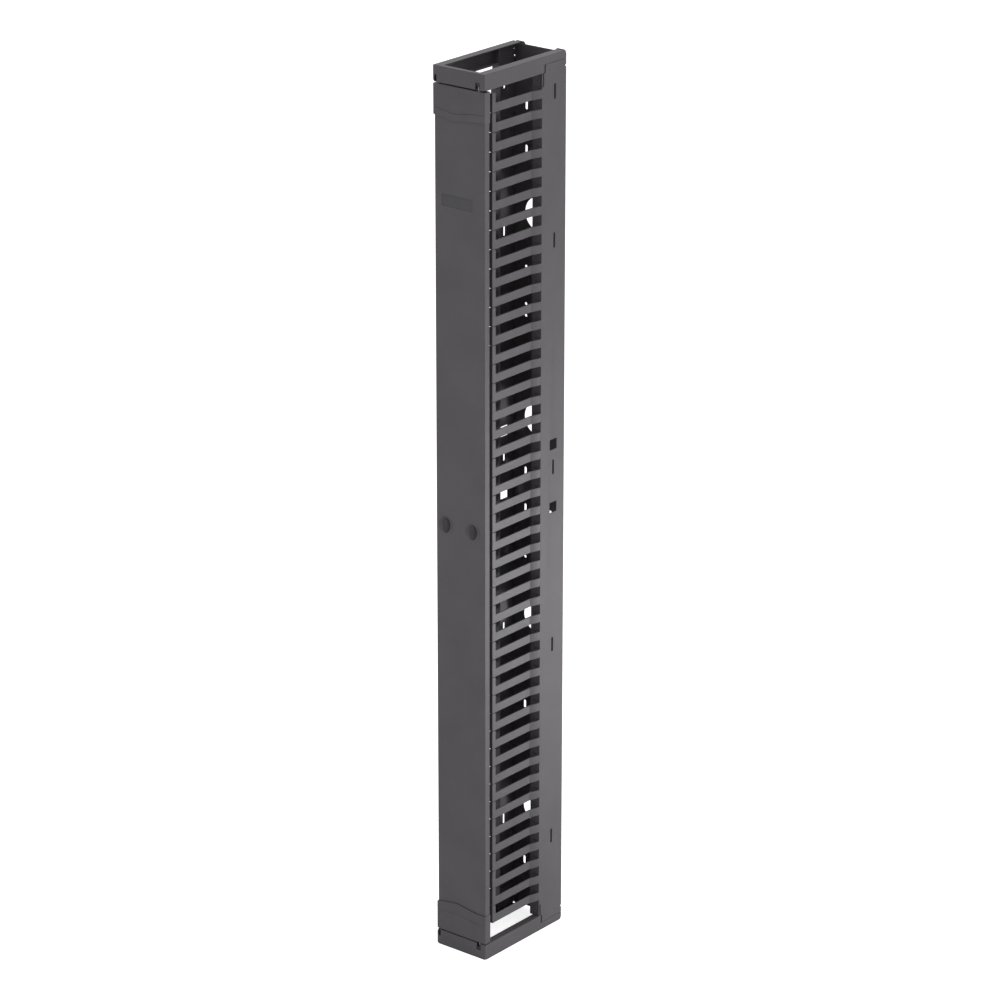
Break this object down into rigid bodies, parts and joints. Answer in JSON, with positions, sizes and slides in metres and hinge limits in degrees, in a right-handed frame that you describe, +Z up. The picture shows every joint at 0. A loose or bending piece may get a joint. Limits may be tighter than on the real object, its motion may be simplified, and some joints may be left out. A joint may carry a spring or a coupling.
{
  "type": "vertical cable manager",
  "caption": "Tall floor-standing vertical cable manager: steel end rings and side channels, moulded cable fingers on both sides, a hinged door with turn latches.",
  "frame": {"origin": "middle of the footprint, on the floor", "axes": "+Z up, -Y is the door side, +X is the right side as seen from the door"},
  "size_m": [0.146, 0.286, 2.13],
  "materials": {
    "frame_paint": "fine-textured charcoal powder coat",
    "finger_plastic": "satin moulded charcoal plastic",
    "cap_plastic": "satin moulded charcoal plastic",
    "badge_plate": "plain blank plate, matt",
    "knob_plastic": "satin black plastic",
    "black_plastic": "matt black moulded plastic",
    "zinc": "bright zinc plating"
  },
  "bodies": {
    "frame": {"rear_panel": "frame_paint", "left_channel": "frame_paint", "right_channel": "frame_paint", "top_ring": "frame_paint", "bottom_ring": "frame_paint", "splice_plates": "frame_paint", "splice_rivets": "frame_paint", "panel_rivets": "frame_paint", "left_fingers_1": "finger_plastic", "left_fingers_2": "finger_plastic", "left_fingers_3": "finger_plastic", "left_fingers_4": "finger_plastic", "left_fingers_5": "finger_plastic", "right_fingers_1": "finger_plastic", "right_fingers_2": "finger_plastic", "right_fingers_3": "finger_plastic", "right_fingers_4": "finger_plastic", "right_fingers_5": "finger_plastic", "hinge_bushes": "black_plastic", "latch_keepers": "black_plastic", "keeper_screws": "zinc"},
    "door": {"door_panel": "frame_paint", "top_cap": "cap_plastic", "bottom_cap": "cap_plastic", "cap_screws": "zinc", "badge_plate": "badge_plate", "left_dish": "cap_plastic", "right_dish": "cap_plastic", "left_gear_cover": "black_plastic", "right_gear_cover": "black_plastic", "cover_screws": "zinc", "rod_guides": "black_plastic"},
    "left_latch": {"left_knob": "knob_plastic", "left_pinion": "zinc", "left_knob_screw": "zinc"},
    "right_latch": {"right_knob": "knob_plastic", "right_pinion": "zinc", "right_knob_screw": "zinc"},
    "left_upper_bolt": {"left_upper_rod": "zinc", "left_upper_pin": "zinc"},
    "left_lower_bolt": {"left_lower_rod": "zinc", "left_lower_pin": "zinc"},
    "right_upper_bolt": {"right_upper_rod": "zinc", "right_upper_pin": "zinc"},
    "right_lower_bolt": {"right_lower_rod": "zinc", "right_lower_pin": "zinc"}
  },
  "joints": [
    {"name": "door_hinge", "type": "hinge", "parent": "frame", "child": "door", "pos_m": [-0.063, -0.134, 1.065], "axis": [0, 0, -1], "range_deg": [0, 110]},
    {"name": "left_knob_turn", "type": "hinge", "parent": "door", "child": "left_latch", "pos_m": [-0.045, -0.134, 1.06098], "axis": [0, -1, 0], "range_deg": [0, 90]},
    {"name": "right_knob_turn", "type": "hinge", "parent": "door", "child": "right_latch", "pos_m": [0.033, -0.134, 1.06098], "axis": [0, 1, 0], "range_deg": [0, 90]},
    {"name": "left_upper_bolt_slide", "type": "slide", "parent": "door", "child": "left_upper_bolt", "axis": [0, 0, -1], "range_m": [0, 0.01256]},
    {"name": "left_lower_bolt_slide", "type": "slide", "parent": "door", "child": "left_lower_bolt", "axis": [0, 0, 1], "range_m": [0, 0.01256]},
    {"name": "right_upper_bolt_slide", "type": "slide", "parent": "door", "child": "right_upper_bolt", "axis": [0, 0, -1], "range_m": [0, 0.01256]},
    {"name": "right_lower_bolt_slide", "type": "slide", "parent": "door", "child": "right_lower_bolt", "axis": [0, 0, 1], "range_m": [0, 0.01256]}
  ],
  "couplings": [
    {"joint": "left_knob_turn", "follows": "left_upper_bolt_slide", "rad_per_m": 125},
    {"joint": "left_lower_bolt_slide", "follows": "left_upper_bolt_slide", "ratio": 1},
    {"joint": "right_knob_turn", "follows": "right_upper_bolt_slide", "rad_per_m": 125},
    {"joint": "right_lower_bolt_slide", "follows": "right_upper_bolt_slide", "ratio": 1}
  ]
}
